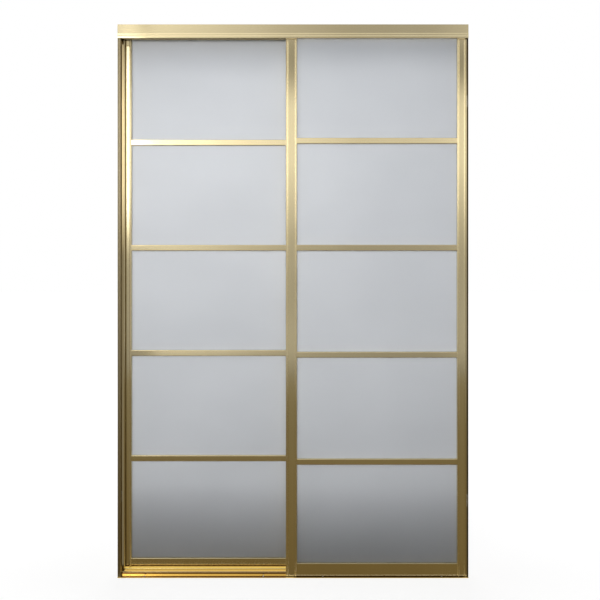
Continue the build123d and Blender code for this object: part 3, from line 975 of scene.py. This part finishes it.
def make_floor():
    """A pale floor, white to the camera and in reflections, that keeps a faint shadow, with a dark sheet
    under the track that paints the shade beneath it.
    """
    ground = bpy.data.materials.new("pale_floor")
    ground.use_nodes = True
    tree = ground.node_tree
    tree.nodes.remove(tree.nodes["Principled BSDF"])
    pale = tree.nodes.new("ShaderNodeBsdfDiffuse")
    pale.inputs["Color"].default_value = (0.25, 0.25, 0.25, 1.0)
    white = tree.nodes.new("ShaderNodeEmission")
    place = tree.nodes.new("ShaderNodeTexCoord")
    distance = tree.nodes.new("ShaderNodeVectorMath")
    distance.operation = "LENGTH"
    tree.links.new(place.outputs["Object"], distance.inputs[0])
    near_glow = tree.nodes.new("ShaderNodeMapRange")
    near_glow.inputs["From Min"].default_value = 0.9
    near_glow.inputs["From Max"].default_value = 2.4
    near_glow.inputs["To Min"].default_value = 0.88
    near_glow.inputs["To Max"].default_value = 1.0
    tree.links.new(distance.outputs["Value"], near_glow.inputs["Value"])
    tree.links.new(near_glow.outputs["Result"], white.inputs["Strength"])
    lit = tree.nodes.new("ShaderNodeAddShader")
    mix = tree.nodes.new("ShaderNodeMixShader")
    tree.links.new(pale.outputs["BSDF"], lit.inputs[0])
    tree.links.new(white.outputs["Emission"], lit.inputs[1])
    tree.links.new(seen_as_white(tree), mix.inputs["Fac"])
    tree.links.new(pale.outputs["BSDF"], mix.inputs[1])
    tree.links.new(lit.outputs["Shader"], mix.inputs[2])
    tree.links.new(mix.outputs["Shader"], tree.nodes["Material Output"].inputs["Surface"])
    floor_half, floor_z, shadow_sheet_z = 14.0, -0.0006, -0.0003
    stage_sheet("floor", rectangle_xy(floor_half, -floor_half, floor_half, floor_z), ground)
    # Painted shade: a dark sheet just under the track, so that the floor seen there looks shaded.
    painted_shadow = plain_finish("painted_shadow_under_track", (0.03, 0.028, 0.025), (0.05, 0.047, 0.04), 300.0, 0.9)
    stage_sheet("felt_under_track", rectangle_xy(0.76, -0.036, 0.036, shadow_sheet_z), painted_shadow)


def make_surroundings():
    """White surroundings for the camera and reflections, and a low even light for the rest."""
    world = bpy.data.worlds.new("surroundings")
    world.use_nodes = True
    scene.world = world
    sky = world.node_tree.nodes["Background"]
    sky.inputs["Color"].default_value = (1.0, 1.0, 1.0, 1.0)
    dim = world.node_tree.nodes.new("ShaderNodeMapRange")
    dim.inputs["To Min"].default_value = 0.20
    dim.inputs["To Max"].default_value = 1.0
    world.node_tree.links.new(seen_as_white(world.node_tree), dim.inputs["Value"])
    world.node_tree.links.new(dim.outputs["Result"], sky.inputs["Strength"])


def make_reflectors():
    """What the gold mirrors: walls, sides, a strip, a roof and floors, and small cards close to the part
    that paint reflections onto set spots of it.

    Each card has its name, corners and strength, its steps along X, and its steps along another axis.
    Only glossy rays see them.
    """
    wall_y, turn_y, side_y, back_y = -3.4, -1.4, -0.4, 3.6
    half, reach, top, roof_z = 2.6, 4.0, 6.0, 5.0
    before_wall, track_edge, above_floor = wall_y + 0.02, 0.042, 0.0005
    strip_middle, strip_half, strip_low, strip_high = -1.81, 0.18, 1.6, 4.2
    shade_high = 1.4
    head_card_low, head_card_high = 2.346, 2.4
    toe_low, toe_high = 0.002, 0.05
    slot_near, slot_far, slot_z = -0.0152, -0.0028, 0.008
    fin_low, fin_high = 0.012, 0.0195
    jamb_low, jamb_high = 0.02, 2.34
    track_half = 0.745
    dark_amber, fin_glow_tint = (0.20, 0.155, 0.075), (1.0, 0.80, 0.28)

    wall_x = levels(
        *((-half, 0.25), (-2.1, 0.25), (-2.0, 1.0), (-1.5, 1.0), (-0.8, 0.80), (0.0, 0.58)),
        *((0.7, 0.47), (1.3, 0.46), (1.6, 0.45), (1.95, 0.57), (half, 0.80)),
    )
    wall_z = levels(
        *((0.0, 0.22), (0.28, 0.43), (0.9, 0.38), (1.5, 0.43), (2.05, 0.67), (2.4, 0.87)),
        *((3.1, 0.87), (3.42, 0.30), (3.6, 0.29), (3.78, 0.36), (3.9, 0.54), (top, 0.54)),
    )
    sides_x = levels((-half, 1.0), (half, 0.74))
    sides_z = levels(
        *((0.0, 0.22), (1.2, 0.28), (1.75, 0.55), (2.2, 1.0), (3.0, 1.0), (3.25, 0.65), (top, 0.65)),
    )
    strip_x = levels((strip_middle - strip_half, 1.0), (-1.8, 1.0), (strip_middle + strip_half, 0.4))
    strip_z = levels((strip_low, 0.3), (2.0, 1.0), (3.3, 1.0), (3.75, 0.45), (strip_high, 0.15))
    shade_z = levels((0.0, 0.9), (shade_high, 1.3))
    roof_x = levels((-half, 1.2), (0.0, 0.8), (half, 0.6))
    roof_y = levels((wall_y, 1.0), (side_y, 0.8))
    even_x = levels((-reach, 1.0), (reach, 1.0))
    floor_y = (
        (wall_y, (0.30, 0.27, 0.20)),
        (-2.0, (0.27, 0.24, 0.17)),
        (-0.6, (0.23, 0.19, 0.11)),
        (-0.05, dark_amber),
    )
    back_x = levels((-reach, 1.0), (-1.0, 0.6), (1.2, 0.5), (reach, 0.9))
    back_z = levels((0.0, 0.45), (1.2, 0.55), (2.2, 1.0), (3.2, 1.0), (3.8, 0.6))
    back_floor_y = ((track_edge, (0.22, 0.18, 0.10)), (back_y, (0.34, 0.31, 0.25)))
    # A painted reflection: a card glowing inside the header, mirrored by the tops of the stiles, bars and
    # panes under it.
    head_card_z = levels((head_card_low, 1.0), (2.364, 0.9), (2.373, 0.05), (head_card_high, 0.05))
    # Painted reflections close to the part: the toe card is a dark sheet before the front door's foot, the
    # slot and fin cards glow in the track's grooves by its fin, and the jamb card glows beside the left
    # jamb.
    toe_z = levels((toe_low, 1.0), (toe_high, 1.0), tint=dark_amber)
    slot_y = ((slot_near, (0.60, 0.46, 0.13)), (slot_far, (1.0, 0.85, 0.55)))
    fin_z = levels((fin_low, 1.0), (fin_high, 1.0), tint=fin_glow_tint)
    jamb_z = levels(
        *((jamb_low, 0.29), (0.6, 0.34), (1.4, 0.38), (1.7, 1.80), (2.05, 2.0), (jamb_high, 0.80)),
        tint=(1.0, 0.95, 0.86),
    )

    strip = rectangle_xz(strip_half, before_wall, strip_low, strip_high, strip_middle)
    toe = rectangle_xz(0.372, -0.046, toe_low, toe_high, 0.376)
    slot = rectangle_xy(track_half, slot_near, slot_far, slot_z)
    jamb = rectangle_yz(-0.760, -0.0195, 0.004, jamb_low, jamb_high)
    cards = [
        ("soft_wall", rectangle_xz(half, wall_y, 0.0, top), 2.3, wall_x, wall_z, "Z"),
        ("left_strip", strip, 5.0, strip_x, strip_z, "Z"),
        ("left_shade", rectangle_xz(0.5, before_wall, 0.0, shade_high, -2.1), 0.42, even_x, shade_z, "Z"),
        ("roof_card", rectangle_xy(half, wall_y, side_y, roof_z), 1.6, roof_x, roof_y, "Y"),
        ("floor_card", rectangle_xy(reach, wall_y, -track_edge, above_floor), 1.0, even_x, floor_y, "Y"),
        ("head_lining", rectangle_xz(0.752, -0.0345, head_card_low, head_card_high), 0.8, even_x, head_card_z, "Z"),
        ("toe_card", toe, 1.0, even_x, toe_z, "Z"),
        ("slot_card", slot, 1.3, even_x, slot_y, "Y"),
        ("fin_card", rectangle_xz(track_half, 0.0027, fin_low, fin_high), 1.1, even_x, fin_z, "Z"),
        ("jamb_card", jamb, 1.0, even_x, jamb_z, "Z"),
        ("back_wall", rectangle_xz(reach, back_y, 0.0, top), 1.4, back_x, back_z, "Z"),
        ("back_floor", rectangle_xy(reach, track_edge, back_y, above_floor), 1.0, even_x, back_floor_y, "Y"),
    ]
    for name, x in (("left_side", -half), ("right_side", half)):
        far = rectangle_yz(x, wall_y, turn_y, 0.0, top)
        near = rectangle_yz(x, turn_y, side_y, 0.0, top)
        cards.append((name, far, 1.35, sides_x, sides_z, "Z"))
        cards.append((f"{name}_near", near, 3.6, sides_x, sides_z, "Z"))
    for name, corners, strength, along_x, along_other, axis in cards:
        card = stage_sheet(name, corners, glow_finish(name, strength, along_x, along_other, axis))
        card.visible_camera = False
        card.visible_diffuse = False
        card.visible_shadow = False
        card.visible_transmission = False


def make_lights():
    """A high soft key, flags that keep it off the top and the foot of the doors, and a soft back light."""
    dark = plain_finish("flag_cloth", (0.012, 0.012, 0.012), (0.02, 0.02, 0.02), 200.0, 0.95)
    flag_half, flag_y = 3.0, -0.5
    for name, low_z, high_z in (("foot_flag", 0.20, 0.50), ("head_flag", 2.34, 3.4)):
        flag = stage_sheet(name, rectangle_xz(flag_half, flag_y, low_z, high_z), dark)
        flag.visible_camera = False
        flag.visible_glossy = False
        flag.visible_transmission = False
    for name, place, aim, size, power in (
        ("key_light", (-0.7, -3.2, 2.1), (0.0, 0.0, 1.25), (3.0, 2.0), 88.0),
        ("back_light", (0.0, 2.8, 2.6), (0.0, 0.0, 1.1), (3.0, 1.6), 40.0),
    ):
        lamp = bpy.data.lights.new(name, "AREA")
        lamp.shape = "RECTANGLE"
        lamp.size, lamp.size_y = size
        lamp.energy = power
        light = bpy.data.objects.new(name, lamp)
        light.location = place
        light.rotation_euler = (Vector(aim) - Vector(place)).to_track_quat("-Z", "Y").to_euler()
        light.visible_glossy = False
        scene.collection.objects.link(light)


def make_camera():
    """A level camera in front of the doors, shifted so that the uprights stay parallel."""
    lens = bpy.data.cameras.new("camera")
    lens.sensor_width = 36.0
    lens.lens = 29.04
    lens.shift_x = 0.0117
    lens.shift_y = -0.0833
    camera = bpy.data.objects.new("camera", lens)
    camera.location = (0.0, -2.138, 1.424)
    camera.rotation_euler = (radians(90), 0.0, 0.0)
    scene.collection.objects.link(camera)
    scene.camera = camera


make_floor()
make_surroundings()
make_reflectors()
make_lights()
make_camera()
